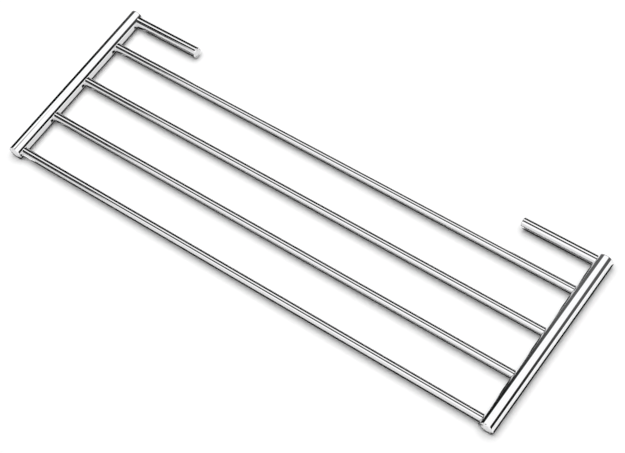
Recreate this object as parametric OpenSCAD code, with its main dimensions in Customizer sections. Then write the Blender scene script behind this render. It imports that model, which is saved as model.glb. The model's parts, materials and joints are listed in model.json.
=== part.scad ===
// Flat towel rack. Two side tubes carry four towel rods between them, and a short support
// arm reaches inwards from the rear end of each side tube.
// X runs along the rods, Y from the front to the rear, and Z is up. All sizes are in mm.
// The origin is under the middle of the rack, level with the lowest line of the side tubes.

/* [Overall] */
// Width across the outer faces of the two side tubes
overall_w = 650; // [350:10:1200]

/* [Side tubes] */
// Outside diameter of a side tube
tube_d = 18; // [15:0.5:28]
// Wall thickness of a side tube
tube_wall = 1.5; // [1:0.1:2]
// Radius of the rounded outer edge at each end of a side tube
tube_edge_r = 1; // [0.2:0.1:1]

/* [Towel rods] */
// Outside diameter of a towel rod
rod_d = 10; // [8:0.5:12]
// Wall thickness of a towel rod
rod_wall = 1; // [0.8:0.1:2]
// Distance from one rod's axis to the next
rod_pitch = 55.75; // [40:0.25:90]
// Side tube left in front of the front rod
front_margin = 2.75; // [2:0.25:12]

/* [Support arms] */
// Outside diameter of a support arm
arm_d = 12.5; // [11.5:0.1:15]
// Wall thickness of a support arm
arm_wall = 1.5; // [1:0.1:1.5]
// Length of a support arm, from the side of its tube to its free end
arm_reach = 87; // [50:1:150]
// Radius of the rounded outer edge at an arm's free end
arm_edge_r = 1; // [0.2:0.1:1]
// Clear gap between the rear rod and the support arms
slot_gap = 30; // [12:0.5:60]
// Side tube left behind the support arm
rear_margin = 0.25; // [0.25:0.25:12]

/* [Plugs] */
// Length of the plug in each end of a side tube, without its domed face
tube_plug_len = 17; // [16:0.5:30]
// Length of the plug in an arm's free end, without its domed face
arm_plug_len = 8; // [5:0.5:20]
// Height of the domed face of the plug in a side tube
tube_plug_crown = 1.2; // [0.4:0.1:2.5]
// Height of the domed face of the plug in an arm
arm_plug_crown = 1; // [0.4:0.1:2]
// Depth of the domed face's edge below the rim around it
plug_recess = 0.2; // [0:0.05:0.5]

/* [Arm screws] */
// Thread diameter of the screw that holds an arm
screw_d = 5; // [4:0.5:5]
// Diameter of the screw's head
screw_head_d = 8.5; // [7:0.5:8.5]
// Height of the screw's head
screw_head_h = 5; // [3:0.5:6]
// Size across the flats of the socket in the head
screw_key_af = 4; // [2.5:0.5:4]
// Depth of the socket in the head
screw_key_depth = 2.5; // [1.5:0.5:2.5]
// Length of the bush that the screw pulls on
bush_len = 12; // [8:1:20]

/* [Clearances] */
// Gap all round a rod in its hole, filled with braze
rod_clear = 0.05; // [0.02:0.01:0.2]
// Gap all round a plug or a bush in its tube
plug_clear = 0.05; // [0.02:0.01:0.2]
// Gap all round the screw in the holes that it passes through
screw_clear = 0.2; // [0.1:0.05:0.3]
// Gap all round the screw's thread in the rear plug
thread_clear = 0.03; // [0.02:0.01:0.1]
// Gap between an arm's shaped end and the side tube that it sits against
seat_clear = 0.03; // [0.02:0.01:0.1]
// Space left beyond the end of a rod or a screw inside a side tube
end_clear = 1; // [0.5:0.1:2]

/* [Hidden] */

rod_count = 4;
tube_r = tube_d / 2;
bore_r = tube_r - tube_wall;
rod_r = rod_d / 2;
arm_r = arm_d / 2;
arm_bore_r = arm_r - arm_wall;

// Front to rear: margin, rods, open slot, arm, margin
front_rod = front_margin + rod_r;
rear_rod = front_rod + (rod_count - 1) * rod_pitch;
arm_place = rear_rod + rod_r + slot_gap + arm_r;
depth = arm_place + arm_r + rear_margin;

// Places in the rack's own frame
front_y = -depth / 2;
rear_y = depth / 2;
tube_x = -(overall_w / 2 - tube_r);
axis_z = tube_r;
arm_end = tube_r + arm_reach;

// How far a rod's end reaches past the side tube's axis before it meets the far wall
rod_past = sqrt(pow(bore_r, 2) - pow(rod_r, 2)) - end_clear;
rod_len = 2 * (rod_past - tube_x);
screw_past = bore_r - 2 * end_clear;
bush_end = tube_r + bush_len;
// How far a cutter runs past the face that it cuts
overshoot = 1;

$fn = 96;

// Draws its children on the left, or mirrored on the right
module on_side(right) {
    if (right) {
        mirror([1, 0, 0]) children();
    } else {
        children();
    }
}

// Lays a piece drawn along Z inside the side tube: y from the front end, pointing to the rear
module from_front(y) {
    translate([tube_x, front_y + y, axis_z]) rotate([-90, 0, 0]) children();
}

// The same from the rear end, pointing to the front
module from_rear(y) {
    translate([tube_x, rear_y - y, axis_z]) rotate([90, 0, 0]) children();
}

// Lays a piece drawn along Z across the rack: x from the side tube's axis, y from its front end
module across(x, y) {
    translate([tube_x + x, front_y + y, axis_z]) rotate([0, 90, 0]) children();
}

// A round bar along Z with a rounded edge at each end, or none where the edge is 0
module round_bar(r, len, start_edge, end_edge) {
    rotate_extrude() {
        translate([0, start_edge]) square([r, len - start_edge - end_edge]);
        square([r - start_edge, len / 2]);
        translate([0, len / 2]) square([r - end_edge, len / 2]);
        if (start_edge > 0) {
            translate([r - start_edge, start_edge]) circle(r = start_edge);
        }
        if (end_edge > 0) {
            translate([r - end_edge, len - end_edge]) circle(r = end_edge);
        }
    }
}

// A plug along Z: a straight part from 0 to len, and a domed face that rises by crown below 0
module domed_plug(r, len, crown) {
    dome_r = (pow(r, 2) + pow(crown, 2)) / (2 * crown);
    rotate_extrude() {
        square([r, len]);
        intersection() {
            translate([0, dome_r - crown]) circle(r = dome_r);
            translate([0, -crown]) square([r, crown + len / 2]);
        }
    }
}

// The space that a side tube takes up where an arm's shaped end sits against it
module tube_seat() {
    from_front(-overshoot) cylinder(r = tube_r + seat_clear, h = depth + 2 * overshoot);
}

module side_tube(right) {
    color("gainsboro") on_side(right) difference() {
        from_front(0) round_bar(tube_r, depth, tube_edge_r, tube_edge_r);
        from_front(-overshoot) cylinder(r = bore_r, h = depth + 2 * overshoot);
        for (i = [0 : rod_count - 1]) {
            across(0, front_rod + i * rod_pitch) cylinder(r = rod_r + rod_clear, h = tube_r + overshoot);
        }
        across(0, arm_place) cylinder(r = screw_d / 2 + screw_clear, h = tube_r + overshoot);
    }
}

// The front rod's end runs into a cross hole in this plug, which also locks the plug
module front_plug(right) {
    hole_past = rod_past + end_clear / 2;
    color("silver") on_side(right) difference() {
        from_front(plug_recess) domed_plug(bore_r - plug_clear, tube_plug_len, tube_plug_crown);
        across(-hole_past, front_rod) cylinder(r = rod_r + rod_clear, h = hole_past + tube_r);
    }
}

// The arm's screw is threaded into this plug
module rear_plug(right) {
    hole_past = screw_past + end_clear / 2;
    color("silver") on_side(right) difference() {
        from_rear(plug_recess) domed_plug(bore_r - plug_clear, tube_plug_len, tube_plug_crown);
        across(-hole_past, arm_place) cylinder(r = screw_d / 2 + thread_clear, h = hole_past + tube_r);
    }
}

// Rod 1 is the front one
module towel_rod(number) {
    color("gainsboro") across(-rod_past, front_rod + (number - 1) * rod_pitch) difference() {
        cylinder(r = rod_r, h = rod_len);
        translate([0, 0, -overshoot]) cylinder(r = rod_r - rod_wall, h = rod_len + 2 * overshoot);
    }
}

module support_arm(right) {
    color("gainsboro") on_side(right) difference() {
        across(0, arm_place) round_bar(arm_r, arm_end, 0, arm_edge_r);
        across(-overshoot, arm_place) cylinder(r = arm_bore_r, h = arm_end + 2 * overshoot);
        tube_seat();
    }
}

module arm_plug(right) {
    color("silver") on_side(right) across(arm_end - plug_recess, arm_place) mirror([0, 0, 1])
        domed_plug(arm_bore_r - plug_clear, arm_plug_len, arm_plug_crown);
}

// Fixed inside the arm's shaped end, for the screw's head to pull on
module arm_bush(right) {
    color("darkgray") on_side(right) difference() {
        across(0, arm_place) cylinder(r = arm_bore_r - plug_clear, h = bush_end);
        across(-overshoot, arm_place)
            cylinder(r = screw_d / 2 + screw_clear, h = bush_end + 2 * overshoot);
        tube_seat();
    }
}

// Put in through the arm's free end, before its plug
module arm_screw(right) {
    color("dimgray") on_side(right) {
        across(-screw_past, arm_place) cylinder(d = screw_d, h = screw_past + bush_end);
        difference() {
            across(bush_end, arm_place) cylinder(d = screw_head_d, h = screw_head_h);
            across(bush_end + screw_head_h - screw_key_depth, arm_place)
                cylinder(d = screw_key_af / cos(30), h = screw_key_depth + overshoot, $fn = 6);
        }
    }
}

side_tube(false);  // side_tube_left
side_tube(true);  // side_tube_right
front_plug(false);  // front_plug_left
front_plug(true);  // front_plug_right
rear_plug(false);  // rear_plug_left
rear_plug(true);  // rear_plug_right
towel_rod(1);  // towel_rod_1
towel_rod(2);  // towel_rod_2
towel_rod(3);  // towel_rod_3
towel_rod(4);  // towel_rod_4
support_arm(false);  // support_arm_left
support_arm(true);  // support_arm_right
arm_plug(false);  // arm_plug_left
arm_plug(true);  // arm_plug_right
arm_bush(false);  // arm_bush_left
arm_bush(true);  // arm_bush_right
arm_screw(false);  // arm_screw_left
arm_screw(true);  // arm_screw_right
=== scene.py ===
# %% [markdown]
# # A chromed towel rack
# This lesson dresses a finished engineering model of a bathroom towel rack. The model gives every bar
# its place and its diameter. Blender gives the bars their polish: smooth round meshes, chrome that
# mirrors a studio, small braze fillets where bars meet, and turned end plugs. The model comes first,
# because everything else takes its size from it.

# %% Load the measured model
import json
import math

import bmesh
import bpy
from mathutils import Matrix, Vector

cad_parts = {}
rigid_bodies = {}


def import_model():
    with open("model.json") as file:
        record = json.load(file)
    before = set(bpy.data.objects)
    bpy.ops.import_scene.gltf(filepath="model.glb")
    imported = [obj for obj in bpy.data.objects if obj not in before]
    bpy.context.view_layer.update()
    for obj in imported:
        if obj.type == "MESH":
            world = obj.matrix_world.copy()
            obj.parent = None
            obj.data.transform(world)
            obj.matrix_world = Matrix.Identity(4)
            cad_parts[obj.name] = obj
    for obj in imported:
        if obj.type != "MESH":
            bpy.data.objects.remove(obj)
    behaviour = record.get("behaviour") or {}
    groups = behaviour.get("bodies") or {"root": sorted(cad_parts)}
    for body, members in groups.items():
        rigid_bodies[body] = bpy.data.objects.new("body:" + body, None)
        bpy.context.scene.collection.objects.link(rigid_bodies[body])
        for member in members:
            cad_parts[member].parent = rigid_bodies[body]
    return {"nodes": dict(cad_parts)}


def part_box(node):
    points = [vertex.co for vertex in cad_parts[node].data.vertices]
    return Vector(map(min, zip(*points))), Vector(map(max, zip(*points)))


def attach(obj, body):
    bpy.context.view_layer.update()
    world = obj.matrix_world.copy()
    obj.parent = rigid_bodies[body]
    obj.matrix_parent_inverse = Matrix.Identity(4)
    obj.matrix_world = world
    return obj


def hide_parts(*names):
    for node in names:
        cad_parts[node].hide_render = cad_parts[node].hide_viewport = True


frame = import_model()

scene = bpy.context.scene
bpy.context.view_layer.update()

# %% [markdown]
# ## Sizes
# A real maker measures stock before cutting it. Each bar is measured here from the box of its own model
# piece, and rounded to a twentieth of a millimetre, because the model's round faces are made of small
# flat ones. This keeps the smooth meshes on the same axes as the model, whatever its sizes are. The
# model leaves a gap of 0.05 mm round each plug, so a bore is that much wider than its plug.

# %% Measure the bars
MM = 0.001
STEP = 0.05
PLUG_GAP = 0.05 * MM


def tidy(value):
    return round(value / (STEP * MM)) * STEP * MM


def middle(node):
    low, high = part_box(node)
    return (low + high) / 2


def size(node):
    low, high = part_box(node)
    return high - low


tube_radius = tidy(size("side_tube_left").z / 2)
tube_length = tidy(size("side_tube_left").y)
rod_radius = tidy(size("towel_rod_1").z / 2)
arm_radius = tidy(size("support_arm_left").z / 2)
axis_height = tidy(middle("side_tube_left").z)
tube_x = tidy(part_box("side_tube_right")[1].x - tube_radius)
arm_tip = tidy(-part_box("support_arm_left")[1].x)
arm_y = tidy(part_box("support_arm_left")[0].y + arm_radius)
bore_radius = tidy(size("front_plug_left").x / 2 + PLUG_GAP)
arm_bore = tidy(size("arm_plug_left").z / 2 + PLUG_GAP)
tube_dome = tidy(-tube_length / 2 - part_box("front_plug_left")[0].y)
arm_dome = tidy(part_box("arm_plug_left")[1].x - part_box("support_arm_left")[1].x)
rods = ["towel_rod_1", "towel_rod_2", "towel_rod_3", "towel_rod_4"]
rod_first = middle(rods[0]).y
rod_pitch = (middle(rods[-1]).y - rod_first) / (len(rods) - 1)
print("radii in mm:", [round(r / MM, 2) for r in (tube_radius, rod_radius, arm_radius)])
print("rod pitch in mm:", round(rod_pitch / MM, 2), "arm line at", round(arm_y / MM, 2))
print("domes stand out by, in mm:", [round(d / MM, 2) for d in (tube_dome, arm_dome)])

# %% [markdown]
# ## Camera
# A product picture of a flat rack is taken from high up, so that all the bars show. A long lens keeps
# the far bars nearly as thick as the near ones. The camera is placed by its direction, height and
# distance from a point on the floor under the rack, and then rolled a little, which sets the rods on a
# slope across the picture.

# %% Place the camera
CAMERA_TURN, CAMERA_HEIGHT, CAMERA_ROLL = 50.631, 57.528, -16.767
CAMERA_AWAY, LENS_MM = 1.8566, 100.31
look_at = Vector((0.02801, -0.01024, 0.00036))

turn, height = math.radians(CAMERA_TURN), math.radians(CAMERA_HEIGHT)
back = Vector((math.sin(turn) * math.cos(height), -math.cos(turn) * math.cos(height), math.sin(height)))
level_right = Vector((0, 0, 1)).cross(back).normalized()
level_up = back.cross(level_right)
roll = math.radians(CAMERA_ROLL)
right = math.cos(roll) * level_right + math.sin(roll) * level_up
up = math.cos(roll) * level_up - math.sin(roll) * level_right

camera_data = bpy.data.cameras.new("camera")
camera_data.sensor_width = 36
camera_data.lens = LENS_MM
camera = bpy.data.objects.new("camera", camera_data)
turned = Matrix((right, up, back)).transposed().to_4x4()
camera.matrix_world = Matrix.Translation(look_at + CAMERA_AWAY * back) @ turned
camera_data.clip_start, camera_data.clip_end = 0.05, 100
scene.collection.objects.link(camera)
scene.camera = camera
print("camera at", [round(x, 3) for x in camera.location])

# %% [markdown]
# ## Nodes and colours
# Blender builds materials, skies and geometry rules from nodes. One small function adds a node, sets
# its settings and fills its sockets: with a number, or with a link when the value is another node's
# output. Colours are written as the hex values that people read on a screen, and turned into light
# values by one function.


# %% Node and colour helpers
def add_node(tree, kind, sockets=None, **settings):
    node = tree.nodes.new(kind)
    for name, value in settings.items():
        setattr(node, name, value)
    for key, value in (sockets or {}).items():
        if isinstance(value, bpy.types.NodeSocket):
            tree.links.new(value, node.inputs[key])
        else:
            node.inputs[key].default_value = value
    return node


def colour(hex_value):
    shares = [int(hex_value[i : i + 2], 16) / 255 for i in (0, 2, 4)]
    return tuple(s / 12.92 if s <= 0.04045 else ((s + 0.055) / 1.055) ** 2.4 for s in shares) + (1.0,)


print("light value of the hex shade EEEEEE:", round(colour("EEEEEE")[0], 3))


# %% [markdown]
# ## Studio
# Chrome has no colour of its own: it shows the room. Polished bars look right only in a room with both
# white and dark parts, which draw the thin lines along them. The room is painted on the world
# background by direction, so each part of it is a range of X, Y and Z on a ball round the rack, where
# each of them runs from -1 to 1. A painted area is a share from 0 to 1. It is built from soft edges,
# and areas are combined by multiplying them (both must hold) or by taking the larger (either may hold).


# %% Define painted areas and empty the room
def soft_edge(tree, value, start, end, low=0.0, high=1.0):
    """A soft step: low before start, high after end."""
    sockets = {"Value": value, "From Min": start, "From Max": end, "To Min": low, "To Max": high}
    return add_node(tree, "ShaderNodeMapRange", sockets, interpolation_type="SMOOTHSTEP").outputs[0]


def combine(tree, operation, area, *others):
    for other in others:
        area = add_node(tree, "ShaderNodeMath", {0: area, 1: other}, operation=operation).outputs[0]
    return area


def between(tree, value, start, end, soft):
    """1 between start and end, with soft edges."""
    rise = soft_edge(tree, value, start - soft, start + soft)
    fall = soft_edge(tree, value, end - soft, end + soft, 1.0, 0.0)
    return combine(tree, "MULTIPLY", rise, fall)


scene.view_settings.view_transform = "Standard"
world = bpy.data.worlds.new("studio room")
scene.world = world
world.use_nodes = True
room = world.node_tree
room.nodes.clear()
direction = add_node(room, "ShaderNodeTexCoord").outputs["Generated"]
axes = add_node(room, "ShaderNodeSeparateXYZ", {"Vector": direction}).outputs
print("empty room:", world.name)

# %% [markdown]
# ### Dark panels
# Black panels stand behind the rack (+Y), to its left (-X) and, a little higher, to its right (+X). The
# top edge of the left one, and the top and foot of the right one, climb towards the back, so each is a
# height that grows with Y. The side panels are a little less dark at their back part. Each pair of
# numbers below is where a soft edge starts and ends.

# %% Paint the dark panels
PANEL_SOFT = 0.03
REAR_FOOT, REAR_TOP, REAR_SOFT = -0.015, 0.675, 0.02
CLIMB_START = 0.3
LEFT_TOP, LEFT_CLIMB = 0.655, 0.7
RIGHT_TOP, RIGHT_CLIMB = 0.645, 1.2
RIGHT_FOOT, RIGHT_FOOT_CLIMB = 0.165, 0.7
REAR_EDGE, LEFT_END, SIDE_EDGE, BACK_PART = (0.42, 0.55), (0.50, 0.44), (0.35, 0.45), (0.40, 0.32)
LEFT_BACK_SHARE, RIGHT_BACK_SHARE = 0.90, 0.92


def above(height, climb):
    """How far a direction is above an edge that has this height at CLIMB_START and climbs with Y."""
    edge = combine(room, "SUBTRACT", axes["Y"], CLIMB_START)
    edge = combine(room, "MULTIPLY", edge, climb)
    edge = combine(room, "ADD", edge, height)
    return combine(room, "SUBTRACT", axes["Z"], edge)


behind = between(room, axes["Z"], REAR_FOOT, REAR_TOP, REAR_SOFT)
behind = combine(room, "MULTIPLY", behind, soft_edge(room, axes["Y"], *REAR_EDGE))

left_back = soft_edge(room, axes["Y"], *BACK_PART, LEFT_BACK_SHARE, 1.0)
on_left = combine(
    room,
    "MULTIPLY",
    soft_edge(room, above(LEFT_TOP, LEFT_CLIMB), PANEL_SOFT, -PANEL_SOFT),
    soft_edge(room, axes["X"], -SIDE_EDGE[0], -SIDE_EDGE[1]),
    combine(room, "MINIMUM", soft_edge(room, axes["Y"], *LEFT_END), left_back),
)
right_back = soft_edge(room, axes["Y"], *BACK_PART, RIGHT_BACK_SHARE, 1.0)
on_right = combine(
    room,
    "MULTIPLY",
    soft_edge(room, above(RIGHT_FOOT, RIGHT_FOOT_CLIMB), -PANEL_SOFT, PANEL_SOFT),
    soft_edge(room, above(RIGHT_TOP, RIGHT_CLIMB), PANEL_SOFT, -PANEL_SOFT),
    combine(room, "MINIMUM", soft_edge(room, axes["X"], *SIDE_EDGE), right_back),
)
panels = combine(room, "MAXIMUM", behind, on_left, on_right)
print("room nodes with the panels:", len(room.nodes))

# %% [markdown]
# ### Gap overhead and wall in front
# Two white ceiling sheets leave a narrow dark gap between them, which draws the thin middle line on
# each rod. The gap crosses the room at a slant, and ends before it would be mirrored in the side tubes.
# At its left end, where the left arm mirrors it, it is wider. In front (-Y) a pale grey wall stands at
# a low angle.

# %% Paint the gap and the front wall
GAP_PLACE, GAP_NEAR, GAP_FAR, GAP_SOFT = 0.37, -0.225, 0.24, 0.04
GAP_LEFT, GAP_RIGHT, GAP_END_SOFT = -0.75, -0.10, 0.06
GAP_BACK_END, GAP_FOOT = (0.31, 0.25), (0.6, 0.7)
WIDE_NEAR, WIDE_LEFT, WIDE_RIGHT, WIDE_END_SOFT, WIDE_FOOT = -0.49, -0.72, -0.515, 0.01, (0.35, 0.45)
FRONT_TOP, FRONT_EDGE = (0.76, 0.50), (-0.3, -0.55)

slant = combine(room, "SUBTRACT", axes["Y"], axes["X"], GAP_PLACE)
narrow = combine(
    room,
    "MULTIPLY",
    between(room, slant, GAP_NEAR, GAP_FAR, GAP_SOFT),
    between(room, axes["X"], GAP_LEFT, GAP_RIGHT, GAP_END_SOFT),
    soft_edge(room, axes["Y"], *GAP_BACK_END),
    soft_edge(room, axes["Z"], *GAP_FOOT),
)
wide = combine(
    room,
    "MULTIPLY",
    between(room, slant, WIDE_NEAR, GAP_NEAR, GAP_SOFT),
    between(room, axes["X"], WIDE_LEFT, WIDE_RIGHT, WIDE_END_SOFT),
    soft_edge(room, axes["Z"], *WIDE_FOOT),
)
gap = combine(room, "MAXIMUM", narrow, wide)
front = soft_edge(room, axes["Z"], *FRONT_TOP)
front = combine(room, "MULTIPLY", front, soft_edge(room, axes["Y"], *FRONT_EDGE))
print("room nodes with the gap and the wall:", len(room.nodes))

# %% [markdown]
# ### Light from the room
# The painted room is white, darkened where its areas are. Only mirrors see it. Matt surfaces get one
# even, weaker light from it instead, so that the painting can't tint the floor. The camera sees plain
# white, so that views from any side have a plain background.

# %% Light the room
WHITE, PANEL_SHADE, GAP_SHADE, FRONT_SHADE, AMBIENT = 1.12, 0.01, 0.0, 0.74, 0.25
level = WHITE
for area, shade in ((panels, PANEL_SHADE), (gap, GAP_SHADE), (front, FRONT_SHADE)):
    taken = combine(room, "MULTIPLY", area, 1 - shade)
    left_over = combine(room, "SUBTRACT", 1.0, taken)
    level = combine(room, "MULTIPLY", left_over, level)
backgrounds = []
for strength in (level, AMBIENT, 1.0):
    background = add_node(room, "ShaderNodeBackground", {"Strength": strength, "Color": (1, 1, 1, 1)})
    backgrounds.append(background.outputs[0])
painted, ambient, plain = backgrounds
rays = add_node(room, "ShaderNodeLightPath").outputs
mixed = add_node(room, "ShaderNodeMixShader", {"Fac": rays["Is Diffuse Ray"], 1: painted, 2: ambient})
sockets = {"Fac": rays["Is Camera Ray"], 1: mixed.outputs[0], 2: plain}
mixed = add_node(room, "ShaderNodeMixShader", sockets)
add_node(room, "ShaderNodeOutputWorld", {"Surface": mixed.outputs[0]})
print("room nodes:", len(room.nodes))

# %% [markdown]
# ## Soft light
# A room alone lights the floor evenly. One large soft box, nearly overhead and a little to the rear,
# makes the short, soft shadow that lies close round each bar, and shows that the rack lies just on the
# floor.

# %% Hang the soft box
BOX_SIZE, BOX_POWER, BOX_PLACE = 4.7, 218, (0.0, 0.55, 4.0)
lamp_data = bpy.data.lights.new("soft box", "AREA")
lamp_data.shape = "SQUARE"
lamp_data.size = BOX_SIZE
lamp_data.energy = BOX_POWER
lamp = bpy.data.objects.new("soft box", lamp_data)
lamp.location = BOX_PLACE
lamp.visible_glossy = lamp.visible_camera = False
scene.collection.objects.link(lamp)
print("soft box:", BOX_SIZE, "m wide at", tuple(lamp.location))

# %% [markdown]
# ## Floor
# The floor is a plain matt sheet, far wider than the rack, so that its edge never shows. Real paper is
# not perfectly even, so its brightness drifts very slightly over some 40 cm.


# %% Lay the floor
def stage_cards(name, quads, finish):
    """A stage piece of four-cornered cards, each a list of its corners."""
    mesh = bpy.data.meshes.new(name)
    corners = [corner for quad in quads for corner in quad]
    mesh.from_pydata(corners, [], [tuple(range(4 * i, 4 * i + 4)) for i in range(len(quads))])
    mesh.materials.append(finish)
    cards = bpy.data.objects.new(name, mesh)
    scene.collection.objects.link(cards)
    return cards


def flat_card(low_x, high_x, low_y, high_y, z):
    return [(low_x, low_y, z), (high_x, low_y, z), (high_x, high_y, z), (low_x, high_y, z)]


paper = bpy.data.materials.new("matt white paper")
paper.use_nodes = True
tree = paper.node_tree
shader = tree.nodes["Principled BSDF"]
shader.inputs["Roughness"].default_value = 0.9
shader.inputs["Specular IOR Level"].default_value = 0.1
place = add_node(tree, "ShaderNodeTexCoord").outputs["Object"]
drift = add_node(tree, "ShaderNodeTexNoise", {"Vector": place, "Scale": 2.5, "Detail": 1.0}).outputs[0]
sockets = {"Factor": drift, 6: colour("EEEEEE"), 7: colour("F1F1F1")}
tint = add_node(tree, "ShaderNodeMix", sockets, data_type="RGBA")
tree.links.new(tint.outputs[2], shader.inputs["Base Color"])

FLOOR_REACH = 12.0
stage_cards("floor", [flat_card(-FLOOR_REACH, FLOOR_REACH, -FLOOR_REACH, FLOOR_REACH, 0)], paper)
print("floor:", 2 * FLOOR_REACH, "m wide")

# %% [markdown]
# ## Strips of painted shade
# Polished bars on a white sheet lose their lower edges, because the edges mirror the sheet. Dark strips
# that only mirrors see paint the shade under and beside the bars into those reflections, which draws the
# edges. Here the strips are patches of one thin card: in front of each rod and arm, with the first rod's
# a little wider, and on both sides of each side tube. All are placed from the bars' own lines, so they
# fit a rack of any size. A patch is (low, high, softness) along X and the same along Y.

# %% Place the strips
STRIP_FRONT, STRIP_BACK, STRIP_SOFT, FIRST_MORE = 19 * MM, 3 * MM, 5 * MM, 5 * MM
# From a side tube's axis to the ends of the rods' strips
LEFT_ROOM, RIGHT_ROOM, END_SOFT = 15 * MM, 11 * MM, 3 * MM
# From a side tube's axis to the inner and outer edges of its own strip, left (-1) and right (1)
SIDE_REACH, SIDE_SOFT = {-1: (13 * MM, 13 * MM), 1: (14 * MM, 23 * MM)}, 4 * MM
OUTSIDE, OUTSIDE_SOFT = 3 * MM, 1 * MM

rod_lines = [rod_first + i * rod_pitch for i in range(len(rods))]
rod_fronts = [line_y - STRIP_FRONT for line_y in rod_lines]
rod_fronts[0] -= FIRST_MORE
arm_front = arm_y - STRIP_FRONT
left_x, right_x = -tube_x + LEFT_ROOM, tube_x - RIGHT_ROOM
arm_spans = ((left_x, -arm_tip), (arm_tip, right_x))

patches = []
for front_y, line_y in zip(rod_fronts, rod_lines):
    patches.append(((left_x, right_x, END_SOFT), (front_y, line_y + STRIP_BACK, STRIP_SOFT)))
for start, end in arm_spans:
    patches.append(((start, end, END_SOFT), (arm_front, arm_y + STRIP_BACK, STRIP_SOFT)))
for sign, (inner, outer) in SIDE_REACH.items():
    low_x, high_x = sorted((sign * (tube_x - inner), sign * (tube_x + outer)))
    end_y = tube_length / 2 + OUTSIDE
    patches.append(((low_x, high_x, SIDE_SOFT), (-end_y, end_y, OUTSIDE_SOFT)))
print("strips:", len(patches))

# %% [markdown]
# ### The card that carries them
# Only mirrors can see the card, so its black is painted shade in the reflections. Its material is a
# share of flat colour over a share of clear, and the share is the soft mask of all the patches, worked
# out from the place on the card. That way the strips' edges are soft, and the floor between them stays
# white in the mirrors.

# %% Lay the strip card
CARD_MARGIN, CARD_LIFT = 40 * MM, 0.2 * MM


def clear_or_card(tree, share, level=0.0):
    """Ends a stage material: a card of this level (0 is black) by this share, and clear by the rest."""
    sheet = add_node(tree, "ShaderNodeEmission", {"Color": (1, 1, 1, 1), "Strength": level})
    clear = add_node(tree, "ShaderNodeBsdfTransparent")
    shown = add_node(tree, "ShaderNodeMixShader", {"Fac": share, 1: clear.outputs[0], 2: sheet.outputs[0]})
    add_node(tree, "ShaderNodeOutputMaterial", {"Surface": shown.outputs[0]})


def start_stage_finish(name):
    made = bpy.data.materials.new(name)
    made.use_nodes = True
    made.node_tree.nodes.clear()
    return made, made.node_tree


def mirror_cards(name, quads, finish):
    """Stage cards that only mirrors can see."""
    cards = stage_cards(name, quads, finish)
    cards.visible_camera = cards.visible_diffuse = False
    cards.visible_shadow = cards.visible_transmission = False


# Painted shade: black patches on a card that only the mirrors see.
strips, tree = start_stage_finish("painted shade strips")
ground = add_node(tree, "ShaderNodeTexCoord").outputs["Object"]
ground = add_node(tree, "ShaderNodeSeparateXYZ", {"Vector": ground}).outputs
areas = []
for along_x, along_y in patches:
    across = between(tree, ground["X"], *along_x)
    areas.append(combine(tree, "MULTIPLY", across, between(tree, ground["Y"], *along_y)))
clear_or_card(tree, combine(tree, "MAXIMUM", *areas))
card_x, card_y = tube_x + CARD_MARGIN, tube_length / 2 + CARD_MARGIN
mirror_cards("strip_card", [flat_card(-card_x, card_x, -card_y, card_y, CARD_LIFT)], strips)
print("strip card:", len(tree.nodes), "nodes")

# %% [markdown]
# ### Upright lips
# Upright lips, which only mirrors see, paint more into the reflections. A lip is seen only by the bar
# behind it. The black lips stand at the front edges of the strips and face the rods and arms: painted
# shade in those bars' reflections. Glowing white ones stand to the right of the left tube, between the
# bars, and face it, so that its inner side mirrors them instead of the strips: a painted reflection of
# lit floor. A lip is drawn on one side only: Backfacing tells the sides apart, and the far side is clear.

# %% Stand up the lips
BLACK_SHARE, BLACK_HEIGHT = 0.72, 8 * MM
WHITE_SHARE, WHITE_LEVEL, WHITE_HEIGHT = 1.0, 0.8, 14 * MM
# From the left tube's axis to the white lips, and from a rod's or arm's axis to the nearest white lip
WHITE_AWAY, BAR_ROOM = 16 * MM, 7 * MM


def one_sided(name, share, level):
    """A stage material that shows on a card's front side only."""
    made, tree = start_stage_finish(name)
    back_side = add_node(tree, "ShaderNodeNewGeometry").outputs["Backfacing"]
    sockets = {"Value": back_side, "To Min": share, "To Max": 0.0}
    clear_or_card(tree, add_node(tree, "ShaderNodeMapRange", sockets).outputs[0], level)
    return made


def lip(start, end, height):
    """An upright card from start to end, each an (x, y). Its front side is on the left of that way."""
    foot = [(*end, 0), (*start, 0)]
    return foot + [(*start, height), (*end, height)]


# Black lips: painted shade in the reflections of the rods and arms.
painted_shade_lips = [lip((left_x, y), (right_x, y), BLACK_HEIGHT) for y in rod_fronts]
painted_shade_lips += [lip((start, arm_front), (end, arm_front), BLACK_HEIGHT) for start, end in arm_spans]
mirror_cards("strip_lips", painted_shade_lips, one_sided("one-sided painted shade", BLACK_SHARE, 0.0))

# White lips: glowing cards, a painted reflection of lit floor in the left tube's inner side.
white_x, bar_lines = -tube_x + WHITE_AWAY, rod_lines + [arm_y]
spans = [(one + BAR_ROOM, two - BAR_ROOM) for one, two in zip(bar_lines, bar_lines[1:])]
white_lips = [lip((white_x, low_y), (white_x, high_y), WHITE_HEIGHT) for low_y, high_y in spans]
mirror_cards("white_lips", white_lips, one_sided("one-sided painted light", WHITE_SHARE, WHITE_LEVEL))
print("lips:", len(painted_shade_lips), "black and", len(white_lips), "white")

# %% [markdown]
# ### Shade painted into a reflection
# The outer side of the left tube mirrors the floor well beyond it. A dark sheet there, again seen by
# mirrors only, paints shade into that reflection and so draws the tube's outer edge. It starts beyond
# the strip card.

# %% Lay the dark ground
GROUND_AWAY, GROUND_END, GROUND_SIDE = 80 * MM, 3.0, 1.5
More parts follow.
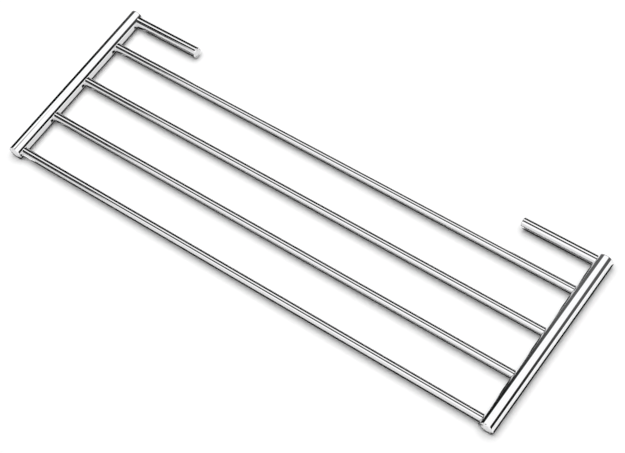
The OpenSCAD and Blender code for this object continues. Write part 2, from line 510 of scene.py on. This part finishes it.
# Shade painted into the left tube's reflection: a black sheet that only the mirrors see.
dark_reflection_finish, tree = start_stage_finish("painted dark reflection")
clear_or_card(tree, 1.0)
dark_reflection_sheet = flat_card(-GROUND_END, -tube_x - GROUND_AWAY, -GROUND_SIDE, GROUND_SIDE, CARD_LIFT)
mirror_cards("dark_left", [dark_reflection_sheet], dark_reflection_finish)
print("painted dark reflection from X =", round(-tube_x - GROUND_AWAY, 3), "m")

# %% [markdown]
# ## Chrome
# The bars are steel tube, polished and then plated with bright chromium. The plate mirrors the room
# with almost no blur. Under close light it has very fine marks from the polishing wheel, drawn here as
# a slight change of gloss over patches of 3 mm, and the polished tube under it is never perfectly true,
# which a bump with waves of 25 mm and a height of a few thousandths of a millimetre gives. Real marks
# are finer than the picture can show.


# %% Make the chrome
def start_finish(name, hex_value, metallic, roughness):
    made = bpy.data.materials.new(name)
    made.use_nodes = True
    shader = made.node_tree.nodes["Principled BSDF"]
    shader.inputs["Base Color"].default_value = colour(hex_value)
    shader.inputs["Metallic"].default_value = metallic
    shader.inputs["Roughness"].default_value = roughness
    return made, made.node_tree, shader


def mottle(tree, patch_size, detail):
    """An uneven pattern fixed to the piece, with patches of about this size."""
    place = add_node(tree, "ShaderNodeTexCoord").outputs["Object"]
    sockets = {"Vector": place, "Scale": 1 / patch_size, "Detail": detail}
    return add_node(tree, "ShaderNodeTexNoise", sockets).outputs[0]


def vary_gloss(tree, shader, pattern, spread, smoothest, roughest):
    """Roughness follows a pattern, whose values lie within spread of 0.5."""
    sockets = {"Value": pattern, "From Min": 0.5 - spread, "From Max": 0.5 + spread}
    sockets.update({"To Min": smoothest, "To Max": roughest})
    gloss = add_node(tree, "ShaderNodeMapRange", sockets)
    tree.links.new(gloss.outputs[0], shader.inputs["Roughness"])


chrome, tree, shader = start_finish("bright chrome plate", "F0F0F1", 1.0, 0.04)
polish_marks = mottle(tree, patch_size=3 * MM, detail=3.0)
vary_gloss(tree, shader, polish_marks, spread=0.15, smoothest=0.02, roughest=0.06)
waves = mottle(tree, patch_size=25 * MM, detail=0.0)
bump = add_node(tree, "ShaderNodeBump", {"Height": waves, "Strength": 0.4, "Distance": 0.02 * MM})
tree.links.new(bump.outputs[0], shader.inputs["Normal"])
print("made", chrome.name)

# %% [markdown]
# ## Turned steel
# The plugs that close the bars are turned on a lathe, so their faces carry fine rings round the middle.
# The rings follow each plug's own face, so the pattern reads a UV map whose first value is the distance
# from the plug's axis in millimetres. A feed of 0.1 mm is too fine to show, so the rings are drawn 0.6
# mm apart.

# %% Make the turned steel
RING_SPACING_MM = 0.6
turned_steel, tree, shader = start_finish("fine turned steel", "DADADB", 1.0, 0.22)
flat = add_node(tree, "ShaderNodeUVMap", uv_map="radius").outputs[0]
from_axis = add_node(tree, "ShaderNodeSeparateXYZ", {"Vector": flat}).outputs["X"]
rings = combine(tree, "MULTIPLY", from_axis, 2 * math.pi / RING_SPACING_MM)
rings = add_node(tree, "ShaderNodeMath", {0: rings}, operation="SINE").outputs[0]
bump = add_node(tree, "ShaderNodeBump", {"Height": rings, "Strength": 0.3, "Distance": 0.01 * MM})
tree.links.new(bump.outputs[0], shader.inputs["Normal"])
smear = mottle(tree, patch_size=4 * MM, detail=2.0)
vary_gloss(tree, shader, smear, spread=0.2, smoothest=0.16, roughest=0.30)
print("made", turned_steel.name)

# %% [markdown]
# ## Machined steel
# The screws and bushes inside the arms are plain machined steel, greyer and duller than the plate. They
# are closed in by the plugs, so a simple finish with small tool marks of about 1 mm is enough for them.

# %% Make the machined steel and dress the hidden fixings
machined, tree, shader = start_finish("plain machined steel", "ACACAE", 1.0, 0.35)
tool_marks = mottle(tree, patch_size=1 * MM, detail=2.0)
vary_gloss(tree, shader, tool_marks, spread=0.2, smoothest=0.28, roughest=0.45)
bump = add_node(tree, "ShaderNodeBump", {"Height": tool_marks, "Strength": 0.3, "Distance": 0.02 * MM})
tree.links.new(bump.outputs[0], shader.inputs["Normal"])

for name, node in sorted(frame["nodes"].items()):
    if "bush" in name or "screw" in name:
        node.data.materials.clear()
        node.data.materials.append(machined)
        print("dressed", name)

# %% [markdown]
# ## Turning a shape
# Tubes, arms and plugs are all bodies of revolution: an outline turned round an axis, as on a lathe.
# The function takes the outline as pairs of (distance along the axis, radius) and joins the rings with
# quads. Mirror-like metal shows every flaw in a surface, so a round body has 128 sides, each rounded
# edge has several steps, and an extra ring just inside each edge keeps the long faces true. Two small
# helpers come first: one draws the rounded edges of an outline, and one maps each face corner's
# distance from the axis, which the turned rings read.


# %% Draw arcs and map the radius
def arc(along, radius, edge, start, end, steps=8):
    """Points on a quarter circle of the outline, from one angle to another, in degrees."""
    angles = [math.radians(start + (end - start) * i / steps) for i in range(steps + 1)]
    return [(along + edge * math.cos(a), radius + edge * math.sin(a)) for a in angles]


def map_radius(shape, origin, axis):
    """Writes each face corner's distance from the axis, and along it, to a UV map in millimetres."""
    radius_map = shape.loops.layers.uv.new("radius")
    for face in shape.faces:
        for loop in face.loops:
            offset = loop.vert.co - origin
            along = offset.dot(axis)
            loop[radius_map].uv = ((offset - axis * along).length / MM, along / MM)


print("points on a rounded edge:", len(arc(0, 0, 1, 0, 90)))

# %% [markdown]
# ### The lathe
# The lathe sets one ring of points for each point of the outline, or a single point where the outline
# is on the axis, and joins each ring to the next. Faces are smooth, and edges sharper than 35 degrees
# stay crisp.

# %% Build the lathe
SIDES, SHARP_DEGREES, ON_AXIS = 128, 35, 1e-7


def lathe(name, outline, origin, axis, finish, closed=False):
    """Turns (along, radius) pairs. A closed outline makes a ring, an open one starts and ends on the axis."""
    mesh, shape = bpy.data.meshes.new(name), bmesh.new()
    axis = Vector(axis).normalized()
    side = Vector((0, 0, 1))
    other = axis.cross(side)
    rings = []
    for along, radius in outline:
        if radius < ON_AXIS:
            rings.append([shape.verts.new(origin + axis * along)])
            continue
        turns = [2 * math.pi * i / SIDES for i in range(SIDES)]
        outwards = [math.cos(t) * side + math.sin(t) * other for t in turns]
        rings.append([shape.verts.new(origin + axis * along + radius * out) for out in outwards])
    pairs = list(zip(rings, rings[1:])) + ([(rings[-1], rings[0])] if closed else [])
    for one, two in pairs:
        for i in range(SIDES):
            j = (i + 1) % SIDES
            corners = [one[i % len(one)], one[j % len(one)], two[j % len(two)], two[i % len(two)]]
            shape.faces.new(list(dict.fromkeys(corners)))
    bmesh.ops.recalc_face_normals(shape, faces=shape.faces)
    map_radius(shape, origin, axis)
    for face in shape.faces:
        face.smooth = True
    for edge in shape.edges:
        if len(edge.link_faces) == 2 and edge.calc_face_angle() > math.radians(SHARP_DEGREES):
            edge.smooth = False
    shape.to_mesh(mesh)
    shape.free()
    mesh.materials.append(finish)
    piece = bpy.data.objects.new(name, mesh)
    scene.collection.objects.link(piece)
    print(name, len(mesh.polygons), "faces")
    return piece


print("sides of a round body:", SIDES)

# %% [markdown]
# ## Fastening a piece
# Nothing on this rack moves, so every piece rides on its one body. A piece also hides the model pieces
# that it replaces, and prints the name of the model's finish that it stands for. The fillets replace none.


# %% Fasten a piece
def finish_piece(piece, slot, *nodes):
    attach(piece, "root")
    if nodes:
        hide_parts(*nodes)
    print(piece.name, "takes the slot", slot, "and replaces", nodes or "nothing")


# %% [markdown]
# ## Side tubes
# Each side tube is a length of 18 mm tube with its outer end edges rounded over, so that they catch a
# bright rim of light, and with an open bore behind the rim for the plug. The outline goes up the bore,
# over the end and back along the outside.

# %% Turn the side tubes
EDGE, SUPPORT, BORE_EDGE = 1.0 * MM, 0.8 * MM, 0.25 * MM


def tube_outline(length, radius, bore, edge, both_ends=True):
    """A tube along the axis from 0 to length. The far end is rounded, and the near end too if both_ends."""
    far = arc(length - edge, radius - edge, edge, 90, 0)
    far_bore = arc(length - BORE_EDGE, bore + BORE_EDGE, BORE_EDGE, 0, -90, 4)
    points = [(length - edge - SUPPORT, radius)] + far + far_bore + [(length - edge - SUPPORT, bore)]
    if both_ends:
        points += [(length - a, r) for a, r in reversed(points)]
    else:
        points += [(SUPPORT, bore), (0, bore), (0, radius), (SUPPORT, radius)]
    return points


for side, sign in (("left", -1), ("right", 1)):
    start = Vector((sign * tube_x, -tube_length / 2, axis_height))
    outline = tube_outline(tube_length, tube_radius, bore_radius, EDGE)
    tube = lathe("tube_" + side, outline, start, (0, 1, 0), chrome, closed=True)
    finish_piece(tube, "chrome_tube", "side_tube_" + side)

# %% [markdown]
# ## Support arms
# The arms are thinner tube. A real one is cut at its root to the side tube's curve, so that it sits
# against the tube all round, and a hidden screw pulls it tight. The arm is turned with a straight root,
# and then each point near the root moves along the arm by the amount that the tube's side falls back at
# that point's height.

# %% Turn the arms
SEAT = 0.05 * MM
arm_length = tube_x - tube_radius + SEAT - arm_tip
for side, sign in (("left", -1), ("right", 1)):
    start = Vector((sign * (arm_tip + arm_length), arm_y, axis_height))
    outline = tube_outline(arm_length, arm_radius, arm_bore, EDGE, both_ends=False)
    arm = lathe("arm_" + side, outline, start, (-sign, 0, 0), chrome, closed=True)
    for vertex in arm.data.vertices:
        if abs(vertex.co.x - start.x) < SUPPORT + SEAT:
            rise = vertex.co.z - axis_height
            vertex.co.x += sign * (tube_radius - math.sqrt(tube_radius**2 - rise**2))
    finish_piece(arm, "chrome_arm", "support_arm_" + side)

# %% [markdown]
# ## End plugs
# A plug is a short turned disc with a slightly domed face, pressed in until its edge sits just below
# the rim. The edge is rounded, so a thin dark line shows between plug and rim. A new joint's line is
# thinner than this one, which is drawn wide enough to show. The dome is one arc, and the small arc of
# the edge meets it without a kink: the two circles touch from inside, which fixes the radius of the
# large one.

# %% Turn the plugs
PLUG_EDGE, EDGE_BELOW, SEAM = 0.45 * MM, 0.45 * MM, 0.12 * MM
PLUG_DEPTH, ARM_PLUG_DEPTH = 12 * MM, 8 * MM


def plug_outline(radius, depth, dome):
    """Outline from the face's middle, which stands out by dome, over the edge and back into the bore."""
    inner = radius - PLUG_EDGE
    drop = dome + EDGE_BELOW
    large = (inner**2 + drop**2 - PLUG_EDGE**2) / (2 * (drop - PLUG_EDGE))
    meet = math.degrees(math.atan2(inner, large - drop))
    face = arc(dome - large, 0, large, 0, meet, 16)
    edge = arc(-EDGE_BELOW, inner, PLUG_EDGE, meet, 90, 6)
    return [(dome, 0)] + face[1:] + edge[1:] + [(-depth, radius), (-depth, 0)]


for side, sign in (("left", -1), ("right", 1)):
    for end, way in (("front", -1), ("rear", 1)):
        mouth = Vector((sign * tube_x, way * tube_length / 2, axis_height))
        outline = plug_outline(bore_radius - SEAM, PLUG_DEPTH, tube_dome)
        plug = lathe("plug_%s_%s" % (end, side), outline, mouth, (0, way, 0), turned_steel)
        finish_piece(plug, "turned_plug", "%s_plug_%s" % (end, side))
    mouth = Vector((sign * arm_tip, arm_y, axis_height))
    outline = plug_outline(arm_bore - SEAM, ARM_PLUG_DEPTH, arm_dome)
    plug = lathe("plug_arm_" + side, outline, mouth, (-sign, 0, 0), turned_steel)
    finish_piece(plug, "turned_plug", "arm_plug_" + side)

# %% [markdown]
# ## Towel rods
# Four equal rods at an equal pitch are a rule, so Geometry Nodes makes them: a line of points across
# the rack, a straight curve on each, and a round profile swept along it. The tree's inputs are the
# sizes, so the same tree would make a rack with more rods or thicker ones. One helper starts a tree
# with named inputs, and another runs it on an empty mesh and keeps what it made.


# %% Define how a tree starts and runs
def new_tree(name, inputs):
    """A geometry tree with a geometry output and named inputs, each a (name, socket kind) pair."""
    made = bpy.data.node_groups.new(name, "GeometryNodeTree")
    made.interface.new_socket("Geometry", in_out="INPUT", socket_type="NodeSocketGeometry")
    for socket_name, kind in inputs:
        made.interface.new_socket(socket_name, in_out="INPUT", socket_type=kind)
    made.interface.new_socket("Geometry", in_out="OUTPUT", socket_type="NodeSocketGeometry")
    return made


def grow(name, tree, values):
    """Runs the tree with these input values and keeps the result as a plain mesh."""
    piece = bpy.data.objects.new(name, bpy.data.meshes.new(name + "_start"))
    scene.collection.objects.link(piece)
    modifier = piece.modifiers.new("rule", "NODES")
    modifier.node_group = tree
    for item in tree.interface.items_tree:
        if item.in_out == "INPUT" and item.name in values:
            modifier[item.identifier] = values[item.name]
    piece.update_tag()
    bpy.context.view_layer.update()
    evaluated = piece.evaluated_get(bpy.context.evaluated_depsgraph_get())
    mesh = bpy.data.meshes.new_from_object(evaluated)
    piece.modifiers.clear()
    piece.data = mesh
    mesh.name = name
    while mesh.materials[0] is None:
        mesh.materials.pop(index=0)
    print(name, len(mesh.polygons), "faces", [m.name for m in mesh.materials])
    return piece


FLOAT, INT, OBJECT, MATERIAL = "NodeSocketFloat", "NodeSocketInt", "NodeSocketObject", "NodeSocketMaterial"
ROW_INPUTS = [("Count", INT), ("Pitch", FLOAT), ("First Y", FLOAT), ("Height", FLOAT), ("Finish", MATERIAL)]
row_values = {"Count": len(rods), "Pitch": rod_pitch, "First Y": rod_first}
row_values.update({"Height": axis_height, "Finish": chrome})
print("inputs of a row:", [name for name, kind in ROW_INPUTS])

# %% [markdown]
# ### One rod
# The tree's first part lays one rod on the X axis: a straight curve between two ends, cut into eight
# lengths, with a ring swept along it and its ends filled. Its round faces are shaded smooth and its
# flat ends aren't.

# %% Shape one rod
ROD_POINTS, ROD_PAST = 9, 0.1 * MM
rod_tree = new_tree("rod row", ROW_INPUTS + [("Length", FLOAT), ("Radius", FLOAT)])
given = add_node(rod_tree, "NodeGroupInput").outputs
ends = []
for share in (-0.5, 0.5):
    end_x = combine(rod_tree, "MULTIPLY", given["Length"], share)
    ends.append(add_node(rod_tree, "ShaderNodeCombineXYZ", {"X": end_x}).outputs[0])
line = add_node(rod_tree, "GeometryNodeCurvePrimitiveLine", {"Start": ends[0], "End": ends[1]}).outputs[0]
line = add_node(rod_tree, "GeometryNodeResampleCurve", {"Curve": line, "Count": ROD_POINTS}).outputs[0]
sockets = {"Resolution": SIDES, "Radius": given["Radius"]}
ring = add_node(rod_tree, "GeometryNodeCurvePrimitiveCircle", sockets).outputs[0]
sockets = {"Curve": line, "Profile Curve": ring, "Fill Caps": True}
rod = add_node(rod_tree, "GeometryNodeCurveToMesh", sockets).outputs[0]
facing = add_node(rod_tree, "GeometryNodeInputNormal").outputs[0]
facing_x = add_node(rod_tree, "ShaderNodeSeparateXYZ", {"Vector": facing}).outputs["X"]
endwise = add_node(rod_tree, "ShaderNodeMath", {0: facing_x}, operation="ABSOLUTE").outputs[0]
round_face = add_node(rod_tree, "FunctionNodeCompare", {0: endwise, 1: 0.5}, operation="LESS_THAN").outputs[0]
sockets = {"Geometry": rod, "Shade Smooth": round_face}
rod = add_node(rod_tree, "GeometryNodeSetShadeSmooth", sockets).outputs[0]
print("nodes for one rod:", len(rod_tree.nodes))

# %% [markdown]
# ### The row of rods
# The second part sets a copy of the rod on each point of a line that goes back across the rack, then
# makes the copies real and gives them their finish. The fillets use these two helpers again.


# %% Grow the rods
def place_row(tree, given, start_x, copied, turn=(0.0, 0.0, 0.0)):
    """Copies of a shape on a line of points that goes back from the first rod's place."""
    sockets = {"X": start_x, "Y": given["First Y"], "Z": given["Height"]}
    first = add_node(tree, "ShaderNodeCombineXYZ", sockets).outputs[0]
    step_by = add_node(tree, "ShaderNodeCombineXYZ", {"Y": given["Pitch"]}).outputs[0]
    sockets = {"Count": given["Count"], "Start Location": first, "Offset": step_by}
    points = add_node(tree, "GeometryNodeMeshLine", sockets).outputs[0]
    sockets = {"Points": points, "Instance": copied, "Rotation": turn}
    return add_node(tree, "GeometryNodeInstanceOnPoints", sockets).outputs[0]


def end_tree(tree, given, copies):
    """Makes the copies real, gives them their finish, and ends the tree."""
    real = add_node(tree, "GeometryNodeRealizeInstances", {"Geometry": copies}).outputs[0]
    sockets = {"Geometry": real, "Material": given["Finish"]}
    finished = add_node(tree, "GeometryNodeSetMaterial", sockets).outputs[0]
    add_node(tree, "NodeGroupOutput", {"Geometry": finished})


end_tree(rod_tree, given, place_row(rod_tree, given, 0.0, rod))

# Each rod ends just inside the bore of the side tube.
rod_length = 2 * (tube_x - bore_radius + ROD_PAST)
rod_row = grow("towel_rods", rod_tree, {**row_values, "Length": rod_length, "Radius": rod_radius})
finish_piece(rod_row, "chrome_rod", *rods)

# %% [markdown]
# ## Braze fillets
# Where a rod enters a side tube, braze fills the corner with a small smooth fillet, and the plating
# covers it. One fillet is a closed ring: a quarter circle that leaves the tube's curved side and ends
# along the rod. Geometry Nodes puts a copy at each end of each rod. The ring is the same from front and
# back, so a half turn makes the right-hand one, with no mirror that would turn it inside out.


# %% Shape one fillet
FILLET, FILLET_SIDES, FILLET_STEPS = 0.9 * MM, 96, 6
INTO_TUBE, INTO_ROD = 0.1 * MM, 0.2 * MM
fillet_mesh = bpy.data.meshes.new("braze_ring")
shape = bmesh.new()
loops = []
for i in range(FILLET_SIDES):
    around = 2 * math.pi * i / FILLET_SIDES
    foot = rod_radius + FILLET
    on_tube = math.sqrt(tube_radius**2 - (foot * math.sin(around)) ** 2)
    section = [(foot, on_tube - INTO_TUBE)]
    for step in range(FILLET_STEPS + 1):
        bend = math.pi / 2 * step / FILLET_STEPS
        section.append((foot - FILLET * math.sin(bend), on_tube + FILLET - FILLET * math.cos(bend)))
    inside = rod_radius - INTO_ROD
    section += [(inside, on_tube + FILLET), (inside, on_tube - INTO_TUBE)]
    loops.append([shape.verts.new((x, out * math.cos(around), out * math.sin(around))) for out, x in section])
for one, two in zip(loops, loops[1:] + loops[:1]):
    for j in range(len(one)):
        k = (j + 1) % len(one)
        shape.faces.new((one[j], one[k], two[k], two[j])).smooth = True
bmesh.ops.recalc_face_normals(shape, faces=shape.faces)
shape.to_mesh(fillet_mesh)
shape.free()
ring_object = bpy.data.objects.new("braze_ring", fillet_mesh)
print("one fillet:", len(fillet_mesh.polygons), "faces")

# %% [markdown]
# ### The fillets' tree
# The tree takes the ring as an object, and sets a row of copies on each side tube's axis, the
# right-hand row with its half turn. The rows are the rods' own rows, so the fillets follow the rods
# when the pitch changes.

# %% Grow the fillets
fillet_tree = new_tree("fillet row", ROW_INPUTS + [("Ring", OBJECT), ("Tube X", FLOAT)])
given = add_node(fillet_tree, "NodeGroupInput").outputs
ring_shape = add_node(fillet_tree, "GeometryNodeObjectInfo", {"Object": given["Ring"]}).outputs["Geometry"]
both = add_node(fillet_tree, "GeometryNodeJoinGeometry")
for sign, turn in ((-1.0, 0.0), (1.0, math.pi)):
    side_x = combine(fillet_tree, "MULTIPLY", given["Tube X"], sign)
    copies = place_row(fillet_tree, given, side_x, ring_shape, (0.0, 0.0, turn))
    fillet_tree.links.new(copies, both.inputs[0])
end_tree(fillet_tree, given, both.outputs[0])

fillets = grow("braze_fillets", fillet_tree, {**row_values, "Ring": ring_object, "Tube X": tube_x})
bpy.data.objects.remove(ring_object)
finish_piece(fillets, "chrome_rod")
